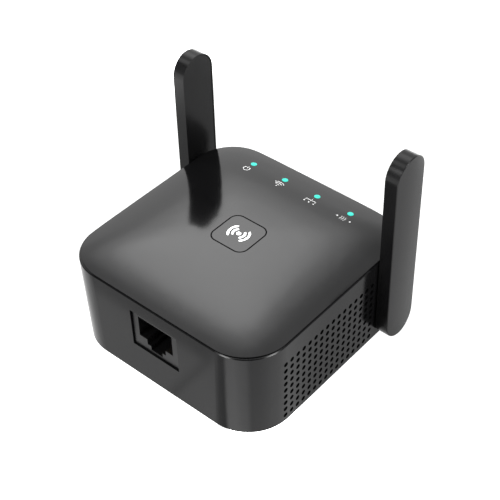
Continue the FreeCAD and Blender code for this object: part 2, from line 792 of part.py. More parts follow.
def make_plug_blade(name, x):
    """A flat mains blade with a bevelled tip, drilled for the axle."""
    body = new_body(name)
    side = sketch_on(body, name + "_side", "YZ_Plane", x - d.blade_thick / 2)
    root = d.plug_side - 3.0
    tip = blade_tip()
    low = d.plug_height - d.blade_width / 2
    high = d.plug_height + d.blade_width / 2
    bevel = 1.6
    draw_polygon(side, [(root, low), (tip - bevel, low), (tip, low + bevel),
                        (tip, high - bevel), (tip - bevel, high), (root, high)])
    pad(body, name + "_pad", side, d.blade_thick)
    hole = sketch_on(body, name + "_hole", "YZ_Plane", x - d.blade_thick / 2)
    draw_circle(hole, (d.plug_side, d.plug_height), d.axle_radius)
    pocket(body, name + "_bore", hole, d.blade_thick, reverse=True)
    return body


def make_plug_axle():
    half = d.carrier_half + d.axle_grip
    return rod("plug_axle", d.axle_radius, 2 * half, (-half, d.plug_side, d.plug_height), "x")


def make_plug_contacts():
    """Two sprung strips behind the well that feed the power board."""
    strips = []
    for side, sign in (("right", 1), ("left", -1)):
        x = sign * d.blade_pitch / 2
        foot = box("contact_foot_" + side, (x - 1.5, -16.8, d.wall), (x + 1.5, -14.4, d.wall + 0.5))
        riser = box("contact_riser_" + side, (x - 1.5, -14.9, d.wall),
                    (x + 1.5, -14.4, d.power_low))
        tab = box("contact_tab_" + side, (x - 1.5, -14.9, d.power_low - 0.5),
                  (x + 1.5, -9.6, d.power_low))
        strips.append(fuse("contact_strip_" + side, [foot, riser, tab]))
    return group("plug_contacts", strips)


# ---------------------------------------------------------------------- the antennas

def stadium(name, radius, length, low, thick):
    """An upright plate with round ends, flat across X, round the hinge line at its foot."""
    body = new_body(name)
    sketch = sketch_on(body, name + "_outline", "YZ_Plane", low)
    y = number(d.hinge_side)
    z = number(d.hinge_height)
    r = number(radius)
    top = z + number(length)
    down = Part.ArcOfCircle(Part.Circle(Vector(y, z, 0), Vector(0, 0, 1), r), math.pi,
                            2 * math.pi)
    up = Part.ArcOfCircle(Part.Circle(Vector(y, top, 0), Vector(0, 0, 1), r), 0, math.pi)
    sketch.addGeometry([down, Part.LineSegment(Vector(y + r, z, 0), Vector(y + r, top, 0)), up,
                        Part.LineSegment(Vector(y - r, top, 0), Vector(y - r, z, 0))], False)
    for k in range(4):
        sketch.addConstraint(Sketcher.Constraint("Tangent", k, 2, (k + 1) % 4, 1))
    sketch.addConstraint(Sketcher.Constraint("Vertical", 1))
    index = sketch.addConstraint(Sketcher.Constraint("Radius", 0, r))
    sketch.setExpression("Constraints[%d]" % index, formula(radius))
    fix(sketch, "DistanceX", 0, 3, d.hinge_side)
    fix(sketch, "DistanceY", 0, 3, d.hinge_height)
    fix(sketch, "DistanceY", 2, 3, d.hinge_height + length)
    pad(body, name + "_pad", sketch, thick)
    return body


def antenna_face():
    """Where the inner face of the right antenna stands."""
    return d.body_half + d.antenna_gap


def boss_face():
    """Where the hinge boss ends inside the housing."""
    return d.body_half - d.boss_depth


def barrel_end():
    return boss_face() - 1.4


def lead_column():
    """Distance from the middle plane at which an antenna lead drops to its hinge."""
    return barrel_end() - 1.4


def make_antenna_shell():
    """A shell with a crowned outer face, open towards the housing."""
    inner = antenna_face()
    outer = inner + d.antenna_thick
    slab = stadium("antenna_slab", d.antenna_radius, d.antenna_length, inner, d.antenna_thick)
    bend = d.antenna_radius * d.antenna_radius / (2 * d.antenna_crown)
    barrel = rod("antenna_bend", bend, d.antenna_length + 4 * d.antenna_radius,
                 (outer - bend, d.hinge_side, d.hinge_height - 2 * d.antenna_radius))
    crowned = common("antenna_crowned", slab, barrel)
    doc.recompute()
    edge = number(d.antenna_edge)
    face = max(crowned.Shape.Faces, key=lambda side: side.CenterOfMass.x)
    rounded = doc.addObject("Part::Fillet", "antenna_blank")
    rounded.Base = crowned
    rounded.Edges = [(k + 1, edge, edge) for k, line in enumerate(crowned.Shape.Edges)
                     if any(line.isSame(side) for side in face.Edges)]
    rim = stadium("antenna_rim_cut", d.antenna_radius - d.antenna_rim, d.antenna_length,
                  inner - 1, d.antenna_plate + 1.1)
    hollow = stadium("antenna_hollow", d.antenna_radius - d.antenna_wall - 0.2,
                     d.antenna_length, inner, d.antenna_thick - d.antenna_wall)
    return cut("antenna_shell_right", rounded, [rim, hollow])


def make_antenna_plate():
    """The inset plate that closes the antenna and holds its hinge barrel."""
    inner = antenna_face() + 0.1
    plate = stadium("antenna_plate_blank", d.antenna_radius - d.antenna_rim - 0.1,
                    d.antenna_length, inner, d.antenna_plate)
    hole = rod("antenna_plate_hole", d.hinge_radius, 4.0,
               (inner - 1, d.hinge_side, d.hinge_height), "x")
    return cut("antenna_plate_right", plate, [hole])


def make_hinge_barrel():
    """A hollow shaft through the housing wall, flanged inside the antenna."""
    seat = antenna_face() + 0.1 + d.antenna_plate
    start = barrel_end()
    line = (d.hinge_side, d.hinge_height)
    shaft = rod("barrel_shaft", d.hinge_radius, seat - start, (start, *line), "x")
    flange = rod("barrel_flange", 3.8, 0.5, (seat, *line), "x")
    bore = rod("barrel_bore", d.lead_radius + 0.2, 10.0, (start - 1, *line), "x")
    relief = rod("barrel_relief", 1.3, 2.0, (seat - 0.4, *line), "x")
    ring = rod("groove_ring", d.hinge_radius + 1, 0.5, (start + 0.4, *line), "x")
    ring_core = rod("groove_core", d.hinge_radius - 0.4, 0.7, (start + 0.3, *line), "x")
    groove = cut("barrel_groove", ring, [ring_core])
    return cut("hinge_barrel_right", fuse("barrel_blank", [shaft, flange]),
               [bore, relief, groove])


def make_hinge_clip():
    """A snap ring in the barrel's groove, open on one side."""
    start = barrel_end() + 0.42
    line = (d.hinge_side, d.hinge_height)
    disc = rod("clip_disc", 3.5, 0.45, (start, *line), "x")
    eye = rod("clip_eye", d.hinge_radius - 0.38, 1.5, (start - 0.5, *line), "x")
    gap = box("clip_gap", (start - 0.5, d.hinge_side - 1.6, d.hinge_height - 5.0),
              (start + 1.0, d.hinge_side + 1.6, d.hinge_height))
    return cut("hinge_clip_right", disc, [eye, gap])


def make_spring_washer():
    start = barrel_end() + 0.9
    line = (d.hinge_side, d.hinge_height)
    disc = rod("washer_disc", 3.5, 0.4, (start, *line), "x")
    eye = rod("washer_eye", d.hinge_radius + 0.1, 1.5, (start - 0.5, *line), "x")
    return cut("spring_washer_right", disc, [eye])


def make_radiator_board():
    inner = antenna_face() + 0.1 + d.antenna_plate
    return box("radiator_board_right", (inner, d.hinge_side - 2.6, d.hinge_height + 8.0),
               (inner + 0.5, d.hinge_side + 2.6, d.hinge_height + d.antenna_length))


def tube(name, points, radius, bend):
    """A lead along straight runs joined by tangent arcs."""
    corners = [vector(point) for point in points]
    edges = []
    last = corners[0]
    for before, corner, after in zip(corners, corners[1:], corners[2:]):
        back = (before - corner).normalize()
        ahead = (after - corner).normalize()
        half_turn = (math.pi - back.getAngle(ahead)) / 2
        trim = bend * math.tan(half_turn)
        start = corner + back * trim
        end = corner + ahead * trim
        bisector = (back + ahead).normalize()
        middle = corner + bisector * (bend / math.cos(half_turn) - bend)
        edges.append(Part.LineSegment(last, start).toShape())
        edges.append(Part.Arc(start, middle, end).toShape())
        last = end
    edges.append(Part.LineSegment(last, corners[-1]).toShape())
    path = Part.Wire(edges)
    direction = corners[1] - corners[0]
    ring = Part.Wire(Part.makeCircle(number(radius), corners[0], direction))
    return coded(name, path.makePipeShell([ring], True, False))


def make_antenna_lead():
    """The part of the coaxial lead that turns with the antenna."""
    high = antenna_face() + 0.1 + d.antenna_plate + 0.5 + d.lead_radius + 0.02
    line = (d.hinge_side, d.hinge_height)
    return tube("antenna_lead_right", [
        (barrel_end(), *line), (high, *line), (high, d.hinge_side, d.hinge_height + 14.0),
    ], d.lead_radius, 1.25)


def make_board_lead():
    """The part of the coaxial lead that stays in the housing."""
    column = lead_column()
    return tube("board_lead_right", [
        (column, 12.0, d.board_low - 1.5), (column, 12.0, 13.0),
        (column, d.hinge_side, d.hinge_height),
        (barrel_end() - 0.1, d.hinge_side, d.hinge_height),
    ], d.lead_radius, 1.1)


# ------------------------------------------------------------------------ fasteners

def make_case_screws():
    """Four long-reach screws that clamp housing, main board and cover."""
    screws = []
    for k, (x, y) in enumerate(corner_places()):
        head = rod("screw_head_%d" % k, d.screw_head, 1.6, (x, y, d.screw_seat - 1.6))
        shank = rod("screw_shank_%d" % k, d.screw_radius, 9.0, (x, y, d.screw_seat))
        blades = [box("screw_cross_%d_%d" % (k, turn),
                      (x - wide, y - deep, d.screw_seat - 1.7),
                      (x + wide, y + deep, d.screw_seat - 0.7))
                  for turn, (wide, deep) in enumerate(((1.3, 0.3), (0.3, 1.3)))]
        screws.append(cut("case_screw_%d" % k, fuse("screw_%d" % k, [head, shank]), blades))
    return group("case_screws", screws)


def make_pcb_screws():
    """Four short screws that hold the power board to its standoffs."""
    top = d.power_low + d.power_thick
    screws = []
    for k, (x, y) in enumerate(standoff_places()):
        head = rod("short_head_%d" % k, 1.9, 1.1, (x, y, top))
        shank = rod("short_shank_%d" % k, 0.8, 5.0, (x, y, top - 5.0))
        screws.append(fuse("short_screw_%d" % k, [head, shank]))
    return group("pcb_screws", screws)


# ------------------------------------------------------------------------- assembly

def make_nodes():
    power_top = d.power_low + d.power_thick
    nodes = [
        make_lower_housing(),
        make_top_cover(),
        make_button_cap(),
        make_light_guides(),
        make_rj45_jack(),
        make_rj45_contacts(),
        make_main_pcb(),
        make_power_pcb(),
        chip("wifi_chip", -18.0, -11.0, 7.0, 7.0, 0.9),
        chip("flash_chip", 16.0, -14.0, 5.0, 4.0, 1.5, legs=4),
        chip("memory_chip", 18.0, -4.0, 8.0, 6.0, 1.0, legs=6),
        chip("crystal", -14.0, 8.0, 3.2, 2.5, 0.8),
        make_shield_can(),
        make_tact_switch(),
        make_tact_plunger(),
        make_status_leds(),
        *make_board_header(),
        make_ethernet_transformer(),
        make_coax_connectors(),
        *make_transformer(),
        make_capacitor("input_capacitor", 4.0, 12.0, (1.0, -5.5, power_top + 4.0)),
        make_capacitor("output_capacitor", 3.15, 9.0, (2.5, 4.5, power_top + 3.15)),
        make_fuse(),
        make_filter_inductor(),
        power_chip("bridge_rectifier", (-21.5, 9.5), (6.0, 3.6, 1.6), 2),
        power_chip("power_controller", (3.5, 14.0), (5.0, 4.0, 1.6), 4),
        make_insulation_sheet(),
        make_blade_carrier(),
        make_plug_blade("plug_blade_right", d.blade_pitch / 2),
        make_plug_blade("plug_blade_left", -d.blade_pitch / 2),
        make_plug_axle(),
        make_plug_contacts(),
        make_case_screws(),
        make_pcb_screws(),
    ]
    right_side = [
        make_antenna_shell(),
        make_antenna_plate(),
        make_hinge_barrel(),
        make_hinge_clip(),
        make_spring_washer(),
        make_radiator_board(),
        make_antenna_lead(),
        make_board_lead(),
    ]
    for piece in right_side:
        nodes.append(piece)
        nodes.append(mirrored(piece.Name.replace("right", "left"), piece))
    return nodes


def main():
    nodes = make_nodes()
    doc.recompute()
    for item in doc.Objects:
        if "Invalid" in item.State or "Error" in item.State:
            raise RuntimeError("%s failed: %s" % (item.Name, item.State))
    os.makedirs("parts", exist_ok=True)
    for node in nodes:
        shape = node.Shape
        if shape.isNull() or not shape.isValid() or not shape.Solids:
            raise RuntimeError("%s has no valid shape" % node.Name)
        node.Label = node.Name
        shape.exportStep("parts/%s.step" % node.Label)
    print("%d nodes" % len(nodes))


main()
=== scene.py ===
import math

import bmesh
import bpy
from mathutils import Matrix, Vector


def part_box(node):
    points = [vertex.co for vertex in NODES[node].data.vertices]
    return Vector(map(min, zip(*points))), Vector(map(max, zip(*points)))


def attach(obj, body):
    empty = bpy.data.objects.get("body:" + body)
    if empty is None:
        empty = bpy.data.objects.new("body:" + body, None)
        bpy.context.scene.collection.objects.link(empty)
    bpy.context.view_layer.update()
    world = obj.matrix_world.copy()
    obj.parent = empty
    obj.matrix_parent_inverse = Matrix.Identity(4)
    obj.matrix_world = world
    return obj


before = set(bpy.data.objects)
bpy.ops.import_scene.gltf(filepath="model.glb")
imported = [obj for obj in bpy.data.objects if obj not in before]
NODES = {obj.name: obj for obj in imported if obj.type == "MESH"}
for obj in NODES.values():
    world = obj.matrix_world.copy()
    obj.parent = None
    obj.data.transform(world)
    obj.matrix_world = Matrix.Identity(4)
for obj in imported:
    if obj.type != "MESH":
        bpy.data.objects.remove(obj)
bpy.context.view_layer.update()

MM = 0.001

# The cover's crown: z = top - rise * (|x / half|^power + |y / half|^power)^(fall / power).
CROWN_HALF = 34.7
CROWN_RISE = 3.05
CROWN_POWER = 5.8
CROWN_FALL = 3.5
CROWN_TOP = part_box("top_cover")[1].z / MM

# The row of status lights on the cover, in millimetres, and the size of the signs.
LIGHT_PITCH = 12.0
LIGHT_ROW = 27.5
LABEL_DROP = 3.3
LABEL_SCALE = 1.25

# The pens that the signs are drawn with, the degrees in each piece of an arc, an arc's
# fewest pieces, and the steps round a stroke's end.
BUTTON_PEN = 0.62
WIDE_PEN = 0.15
FINE_PEN = 0.14
ARC_STEP = 7
ARC_PIECES = 6
CAP_STEPS = 6

# The camera: its place in millimetres, its angles in degrees and its lens.
CAMERA_PLACE = (168.4, -184.0, 253.7)
CAMERA_AZIMUTH = 39.19
CAMERA_ELEVATION = 41.08
CAMERA_LENS = 86.65
CAMERA_SHIFT = (-0.0806, -0.0544)

# The light tent: its brightest level, its share by the sine of the height angle, and how
# much of it is taken away behind the camera, between these edges in Y and Z.
TENT = 7.9
TENT_SHARE = ((0.0, 0.20), (0.30, 0.24), (0.42, 0.28), (0.60, 0.21), (0.74, 0.16), (0.87, 0.25),
              (1.0, 0.18))
DIMMING = -0.7
DIM_IN_Y = (-0.15, -0.55)
DIM_IN_Z = (0.12, 0.4)

# The lamps in the tent: each has a direction, and its share of the tent's level by the
# cosine of the angle from there. RIM_LIGHT multiplies the two that edge the seam.
BACK_BOX = ((-0.47, 0.42, 0.775),
            ((0.90, 0.0), (0.93, 0.07), (0.965, 0.34), (0.985, 0.72), (1.0, 0.82)))
LEFT_BOX = ((-0.52, -0.26, 0.81), ((0.970, 0.0), (0.984, 0.50), (1.0, 0.85)))
RIM_SHARE = ((0.95, 0.0), (0.98, 0.15), (1.0, 1.0))
FRONT_RIM = ((-0.16, -0.78, 0.60), RIM_SHARE)
RIGHT_RIM = ((0.80, 0.08, 0.59), RIM_SHARE)
RIM_LIGHT = 9.0

# The lit table: its half size and its drop below the object, in metres, and its paint.
TABLE_HALF = 4.0
TABLE_DROP = 0.00002
TABLE_PAINT = (0.10, 0.10, 0.10)

# Its glow: everywhere, at most round the front corner, and beyond the object. The middle
# one follows the direction from GLOW_CENTRE, as (degrees from -Y towards +X, share).
GLOW_BASE = 1.0
GLOW_PEAK = 5.9
GLOW_BEYOND = 3.0
GLOW_CENTRE = (26.9, -27.5)
GLOW = ((-180, 0.0), (-97, 0.0), (-80, 0.11), (-42, 0.17), (-33, 0.0), (-20, 0.0), (-12, 0.74),
        (5, 0.95), (34, 0.82), (46, 0.47), (95, 0.47), (120, 0.30), (138, 0.17), (152, 0.03),
        (172, 0.0))

# Where the glow round the corner is let through, each as (none, all) in millimetres: on the
# left only in a strip close to the front wall, on the right everywhere, and on neither side
# far out.
STRIP_FRONT = (-51.2, -48.6)
STRIP_LEFT = (8, 0)
STRIP_RIGHT = (2, 8)
NEAR_FRONT = (-140, -80)
NEAR_RIGHT = (140, 80)

# Where the glow beyond the object starts and where it is full, in millimetres.
BEYOND_RIGHT = (95, 125)
BEYOND_LEFT = (-84, -106)
BEYOND_REAR = (95, 125)
BEYOND_FRONT = (-68, -88)

# The middle of a noise pattern, where nearly all its values lie.
NOISE_LOW = 0.3
NOISE_HIGH = 0.7

# A wave texture of scale 1 has this many units from one line to the next.
WAVE_SPACING = 0.314

# Edges flatter than this stay smooth, in degrees.
SMOOTH_ANGLE = 28


# ------------------------------------------------------------------- camera and stage

def make_camera():
    """The long lens of a product shot, raised over the front right corner."""
    azimuth = math.radians(CAMERA_AZIMUTH)
    elevation = math.radians(CAMERA_ELEVATION)
    camera = bpy.data.cameras.new("camera")
    camera.sensor_width = 36.0
    camera.lens = CAMERA_LENS
    camera.shift_x, camera.shift_y = CAMERA_SHIFT
    camera.clip_start = 0.01
    camera.clip_end = 20.0
    holder = bpy.data.objects.new("camera", camera)
    holder.location = Vector(CAMERA_PLACE) * MM
    back = Vector((math.sin(azimuth) * math.cos(elevation),
                   -math.cos(azimuth) * math.cos(elevation), math.sin(elevation)))
    holder.rotation_euler = (-back).to_track_quat("-Z", "Y").to_euler()
    bpy.context.scene.collection.objects.link(holder)
    bpy.context.scene.camera = holder


def fill_ramp(node, stops):
    """Set a colour ramp's stops, each (position, (r, g, b))."""
    elements = node.color_ramp.elements
    while len(elements) < len(stops):
        elements.new(0.5)
    for element, (position, colour) in zip(elements, stops):
        element.position = position
        element.color = (*colour, 1.0)


class Levels:
    """Short calls for grey levels that follow a direction or a place."""

    def __init__(self, tree):
        self.nodes = tree.nodes
        self.links = tree.links

    def axes(self, output):
        """The x, y and z of one of the texture coordinates."""
        node = self.nodes.new("ShaderNodeSeparateXYZ")
        self.links.new(self.nodes.new("ShaderNodeTexCoord").outputs[output], node.inputs[0])
        return node.outputs

    def ramp(self, source, *stops):
        """Level by position along a 0 to 1 number; each stop is (number, level)."""
        node = self.nodes.new("ShaderNodeValToRGB")
        fill_ramp(node, [(position, (level, level, level)) for position, level in stops])
        self.links.new(source, node.inputs["Fac"])
        return node.outputs["Color"]

    def math(self, operation, *values):
        """One sum of a Math node; each value is a number or another node's output."""
        node = self.nodes.new("ShaderNodeMath")
        node.operation = operation
        for socket, value in zip(node.inputs, values):
            if isinstance(value, bpy.types.NodeSocket):
                self.links.new(value, socket)
            else:
                socket.default_value = value
        return node.outputs[0]

    def edge(self, source, outside, inside):
        """0 outside, 1 inside, with a smooth step between."""
        node = self.nodes.new("ShaderNodeMapRange")
        node.interpolation_type = "SMOOTHSTEP"
        node.inputs["From Min"].default_value = outside
        node.inputs["From Max"].default_value = inside
        self.links.new(source, node.inputs["Value"])
        return node.outputs["Result"]


def make_world():
    """A light tent, dim behind the camera, with a large soft box high behind, a small one
    high on the left, and two lamps in front and on the right that draw the seam's edge."""
    world = bpy.data.worlds.new("light_tent")
    bpy.context.scene.world = world
    world.use_nodes = True
    levels = Levels(world.node_tree)
    x, y, z = levels.axes("Generated")

    def lamp(direction, stops):
        """A soft light whose share follows the cosine of the angle from a direction."""
        toward = Vector(direction).normalized()
        cosine = levels.math("MULTIPLY", x, toward.x)
        cosine = levels.math("MULTIPLY_ADD", y, toward.y, cosine)
        cosine = levels.math("MULTIPLY_ADD", z, toward.z, cosine)
        return levels.ramp(cosine, *stops)

    behind = levels.math("MULTIPLY", levels.edge(y, *DIM_IN_Y), levels.edge(z, *DIM_IN_Z))
    tent = levels.math("MULTIPLY", levels.ramp(z, *TENT_SHARE),
                       levels.math("MULTIPLY_ADD", behind, DIMMING, 1.0))
    rims = levels.math("ADD", lamp(*FRONT_RIM), lamp(*RIGHT_RIM))
    lamps = levels.math("MULTIPLY_ADD", rims, RIM_LIGHT,
                        levels.math("ADD", lamp(*BACK_BOX), lamp(*LEFT_BOX)))
    background = world.node_tree.nodes["Background"]
    background.inputs["Color"].default_value = (1.0, 1.0, 1.0, 1.0)
    strength = levels.math("MULTIPLY", levels.math("ADD", tent, lamps), TENT)
    levels.links.new(strength, background.inputs["Strength"])


def make_floor():
    """A plain pale table lit from below, wider than any view. It is bright enough to look
    white all over; that it glows more in some places shows only in reflections."""
    mesh = bpy.data.meshes.new("floor")
    half = TABLE_HALF
    mesh.from_pydata([(-half, -half, 0), (half, -half, 0), (half, half, 0), (-half, half, 0)],
                     [], [(0, 1, 2, 3)])
    floor = bpy.data.objects.new("floor", mesh)
    floor.location.z = -TABLE_DROP
    bpy.context.scene.collection.objects.link(floor)
    finish = Finish("floor_white")
    levels = Levels(finish.material.node_tree)
    x, y, _ = levels.axes("Object")

    def edge(source, millimetres):
        """The same smooth step between two places on the table."""
        outside, inside = millimetres
        return levels.edge(source, outside * MM, inside * MM)

    def both(first, second):
        return levels.math("MULTIPLY", first, second)

    def either(first, second):
        return levels.math("MAXIMUM", first, second)

    turn = levels.math("ARCTAN2", levels.math("SUBTRACT", x, GLOW_CENTRE[0] * MM),
                       levels.math("SUBTRACT", GLOW_CENTRE[1] * MM, y))
    turn = levels.math("MULTIPLY_ADD", turn, 0.5 / math.pi, 0.5)
    corner = levels.ramp(turn, *[(0.5 + angle / 360, share) for angle, share in GLOW])
    corner = levels.math("MULTIPLY", corner, GLOW_PEAK)
    strip = either(both(edge(y, STRIP_FRONT), edge(x, STRIP_LEFT)), edge(x, STRIP_RIGHT))
    near = both(edge(y, NEAR_FRONT), edge(x, NEAR_RIGHT))
    glow = levels.math("ADD", both(both(corner, strip), near), GLOW_BASE)
    beyond = either(either(edge(x, BEYOND_RIGHT), edge(x, BEYOND_LEFT)),
                    either(edge(y, BEYOND_REAR), edge(y, BEYOND_FRONT)))
    finish.set(base=TABLE_PAINT, roughness=0.9, specular=0.0, emission=(1.0, 1.0, 1.0),
               emission_strength=levels.math("MULTIPLY_ADD", beyond, GLOW_BEYOND, glow))
    mesh.materials.append(finish.material)


# ---------------------------------------------------------------------- material tools

class Finish:
    """One material's node tree, with short calls for what every finish uses."""

    SOCKETS = {
        "base": "Base Color", "roughness": "Roughness", "specular": "Specular IOR Level",
        "metallic": "Metallic", "coat": "Coat Weight", "sheen": "Sheen Weight",
        "emission": "Emission Color", "emission_strength": "Emission Strength",
        "transmission": "Transmission Weight", "subsurface": "Subsurface Weight",
    }

    def __init__(self, name):
        self.material = bpy.data.materials.new(name)
        self.material.use_nodes = True
        self.nodes = self.material.node_tree.nodes
        self.links = self.material.node_tree.links
        self.shader = self.nodes["Principled BSDF"]
        self.place = self.nodes.new("ShaderNodeTexCoord").outputs["Object"]
        self.bumped = None

    def set(self, **values):
        """Numbers and colours go on the shader's own sockets; outputs are linked."""
        for word, value in values.items():
            socket = self.shader.inputs[self.SOCKETS[word]]
            if isinstance(value, bpy.types.NodeSocket):
                self.links.new(value, socket)
            elif isinstance(value, tuple):
                socket.default_value = (*value, 1.0)
            else:
                socket.default_value = value

    def stretched(self, x, y, z):
        """The piece's own coordinates, scaled unevenly."""
        node = self.nodes.new("ShaderNodeMapping")
        node.inputs["Scale"].default_value = (x, y, z)
        self.links.new(self.place, node.inputs["Vector"])
        return node.outputs["Vector"]

    def noise(self, grain, detail=2.0, where=None):
        """Soft noise whose lumps are about grain millimetres across."""
        node = self.nodes.new("ShaderNodeTexNoise")
        node.inputs["Scale"].default_value = 1 / (grain * MM)
        node.inputs["Detail"].default_value = detail
        self.links.new(where or self.place, node.inputs["Vector"])
        return node.outputs["Fac"]

    def cells(self, grain):
        """Distance to the nearest of scattered points about grain millimetres apart."""
        node = self.nodes.new("ShaderNodeTexVoronoi")
        node.inputs["Scale"].default_value = 1 / (grain * MM)
        self.links.new(self.place, node.inputs["Vector"])
        return node.outputs["Distance"]

    def bands(self, grain, direction, distortion=0.0):
        """Parallel lines grain millimetres apart across one axis."""
        node = self.nodes.new("ShaderNodeTexWave")
        node.bands_direction = direction
        node.inputs["Scale"].default_value = WAVE_SPACING / (grain * MM)
        node.inputs["Distortion"].default_value = distortion
        self.links.new(self.place, node.inputs["Vector"])
        return node.outputs["Fac"]

    def spread(self, source, low, high, start=NOISE_LOW, end=NOISE_HIGH):
        """Stretch the middle of a 0 to 1 pattern over a range of values."""
        node = self.nodes.new("ShaderNodeMapRange")
        self.links.new(source, node.inputs["Value"])
        for word, value in (("From Min", start), ("From Max", end),
                            ("To Min", low), ("To Max", high)):
            node.inputs[word].default_value = value
        return node.outputs["Result"]

    def colours(self, source, *stops):
        """Turn a pattern into colours; each stop is (position, (r, g, b))."""
        node = self.nodes.new("ShaderNodeValToRGB")
        fill_ramp(node, stops)
        self.links.new(source, node.inputs["Fac"])
        return node.outputs["Color"]

    def relief(self, source, height, strength=1.0):
        """Raise the surface by a pattern, height in millimetres; calls add up."""
        node = self.nodes.new("ShaderNodeBump")
        node.inputs["Distance"].default_value = height * MM
        node.inputs["Strength"].default_value = strength
        self.links.new(source, node.inputs["Height"])
        if self.bumped:
            self.links.new(self.bumped, node.inputs["Normal"])
        self.bumped = node.outputs["Normal"]
        self.links.new(self.bumped, self.shader.inputs["Normal"])


def shades(finish, colour, grain, amount):
    """A colour that drifts a little lighter and darker over the surface."""
    dark = tuple(channel * (1 - amount) for channel in colour)
    light = tuple(channel * (1 + amount) for channel in colour)
    return finish.colours(finish.noise(grain, detail=3.0), (NOISE_LOW, dark), (NOISE_HIGH, light))


# --------------------------------------------------------------------------- materials

BLACK = (0.0014, 0.0014, 0.0015)
CHARCOAL = (0.02, 0.02, 0.02)
EPOXY = (0.012, 0.012, 0.013)
RUBBER = (0.018, 0.018, 0.020)
FERRITE = (0.035, 0.035, 0.04)
BRASS = (0.83, 0.58, 0.20)
NICKEL = (0.60, 0.59, 0.56)
STEEL = (0.50, 0.50, 0.51)
ZINC = (0.42, 0.43, 0.45)
DARK_TURQUOISE = (0.01, 0.10, 0.08)
DEEP_TURQUOISE = (0.015, 0.62, 0.50)
PALE_TURQUOISE = (0.04, 0.78, 0.65)
LED_RESIN = (0.60, 0.72, 0.66)
LED_LIGHT = (0.10, 0.85, 0.72)
BOARD_GREEN = (0.008, 0.085, 0.035)
TRACK_GREEN = (0.02, 0.16, 0.06)
TAPE_SHADOW = (0.50, 0.33, 0.02)
TAPE_YELLOW = (0.72, 0.52, 0.06)
SLEEVE_BLUE = (0.010, 0.022, 0.10)
GLAZE_WHITE = (0.72, 0.70, 0.64)
FILM_CREAM = (0.66, 0.64, 0.54)
NYLON_CREAM = (0.66, 0.63, 0.54)
PRINT_WHITE = (0.86, 0.86, 0.86)
LABEL_GREY = (0.36, 0.36, 0.36)

# How far roughness drifts over bare metal, and how far a brush draws its marks out.
METAL_DRIFT = 0.06
BRUSH_PULL = 40


def moulded(name, colour, roughness, specular, grain=0.25, height=0.0004, drift=0.03):
    """Injection-moulded plastic: slow flow marks, a fine spark grain and a hint of haze."""
    finish = Finish(name)
    finish.set(base=shades(finish, colour, grain=9.0, amount=0.12),
               roughness=finish.spread(finish.noise(5.0, detail=4.0), roughness - drift,
                                       roughness + drift),
               specular=specular)
    finish.relief(finish.noise(14.0, detail=1.0), height=0.004, strength=0.15)
    finish.relief(finish.noise(grain, detail=2.0), height)
    return finish.material


def lit_acrylic(name):
    """Clear acrylic lit from behind, brightest in soft cloudy spots."""
    finish = Finish(name)
    glow = finish.colours(finish.noise(0.9, detail=1.0), (NOISE_LOW, DEEP_TURQUOISE),
                          (NOISE_HIGH, PALE_TURQUOISE))
    finish.set(base=DARK_TURQUOISE, roughness=0.3, specular=0.12, emission=glow,
               emission_strength=0.9)
    finish.relief(finish.noise(0.5, detail=1.0), height=0.002, strength=0.4)
    return finish.material


def ink(name, colour):
    """Pad-printing ink with an uneven coverage."""
    finish = Finish(name)
    finish.set(base=shades(finish, colour, grain=0.35, amount=0.08),
               roughness=finish.spread(finish.noise(0.6), 0.40, 0.55), specular=0.3)
    finish.relief(finish.noise(0.15, detail=2.0), height=0.002, strength=0.5)
    return finish.material


def metal(name, colour, roughness, brushed=None):
    """Bare or plated metal; a brushed one has fine lines along the given axis."""
    finish = Finish(name)
    finish.set(base=shades(finish, colour, grain=3.0, amount=0.06), metallic=1.0,
               roughness=finish.spread(finish.noise(1.2, detail=4.0), roughness - METAL_DRIFT,
                                       roughness + METAL_DRIFT))
    if brushed:
        along = finish.stretched(*(1 if axis == brushed else BRUSH_PULL for axis in "XYZ"))
        finish.relief(finish.noise(4.0, detail=3.0, where=along), height=0.0008, strength=0.5)
    finish.relief(finish.noise(0.4, detail=3.0), height=0.0004, strength=0.5)
    return finish.material


def circuit_board(name):
    """Green solder mask over copper tracks and vias."""
    finish = Finish(name)
    foot, top = 0.45, 0.60
    track = finish.bands(1.3, "DIAGONAL", distortion=3.0)
    finish.set(base=finish.colours(track, (foot, BOARD_GREEN), (top, TRACK_GREEN)),
               roughness=finish.spread(finish.noise(2.0), 0.28, 0.42), specular=0.5)
    finish.relief(finish.spread(track, 0.0, 1.0, start=foot, end=top), height=0.03,
                  strength=0.6)
    vias = finish.spread(finish.cells(2.2), 1.0, 0.0, start=0.08, end=0.14)
    finish.relief(vias, height=0.03, strength=0.6)
    return finish.material


def package(name):
    """Black epoxy package with a fine matt surface."""
    finish = Finish(name)
    finish.set(base=shades(finish, EPOXY, grain=1.5, amount=0.2),
               roughness=finish.spread(finish.noise(0.8), 0.45, 0.60), specular=0.45)
    finish.relief(finish.noise(0.08, detail=2.0), height=0.003, strength=0.6)
    return finish.material


def pressed_ferrite(name):
    """Sintered ferrite: grey, gritty and a little shiny."""
    finish = Finish(name)
    finish.set(base=shades(finish, FERRITE, grain=0.6, amount=0.3),
               roughness=finish.spread(finish.noise(0.5), 0.40, 0.65), specular=0.6)
    finish.relief(finish.noise(0.2, detail=4.0), height=0.012, strength=0.8)
    return finish.material


def wound_tape(name):
    """Yellow polyester tape wound over the copper, one turn lying on the next."""
    finish = Finish(name)
    turns = finish.bands(0.9, "Z", distortion=0.5)
    finish.set(base=finish.colours(turns, (0.2, TAPE_SHADOW), (0.8, TAPE_YELLOW)),
               roughness=0.25, coat=0.4)
    finish.relief(turns, height=0.03, strength=0.6)
    return finish.material


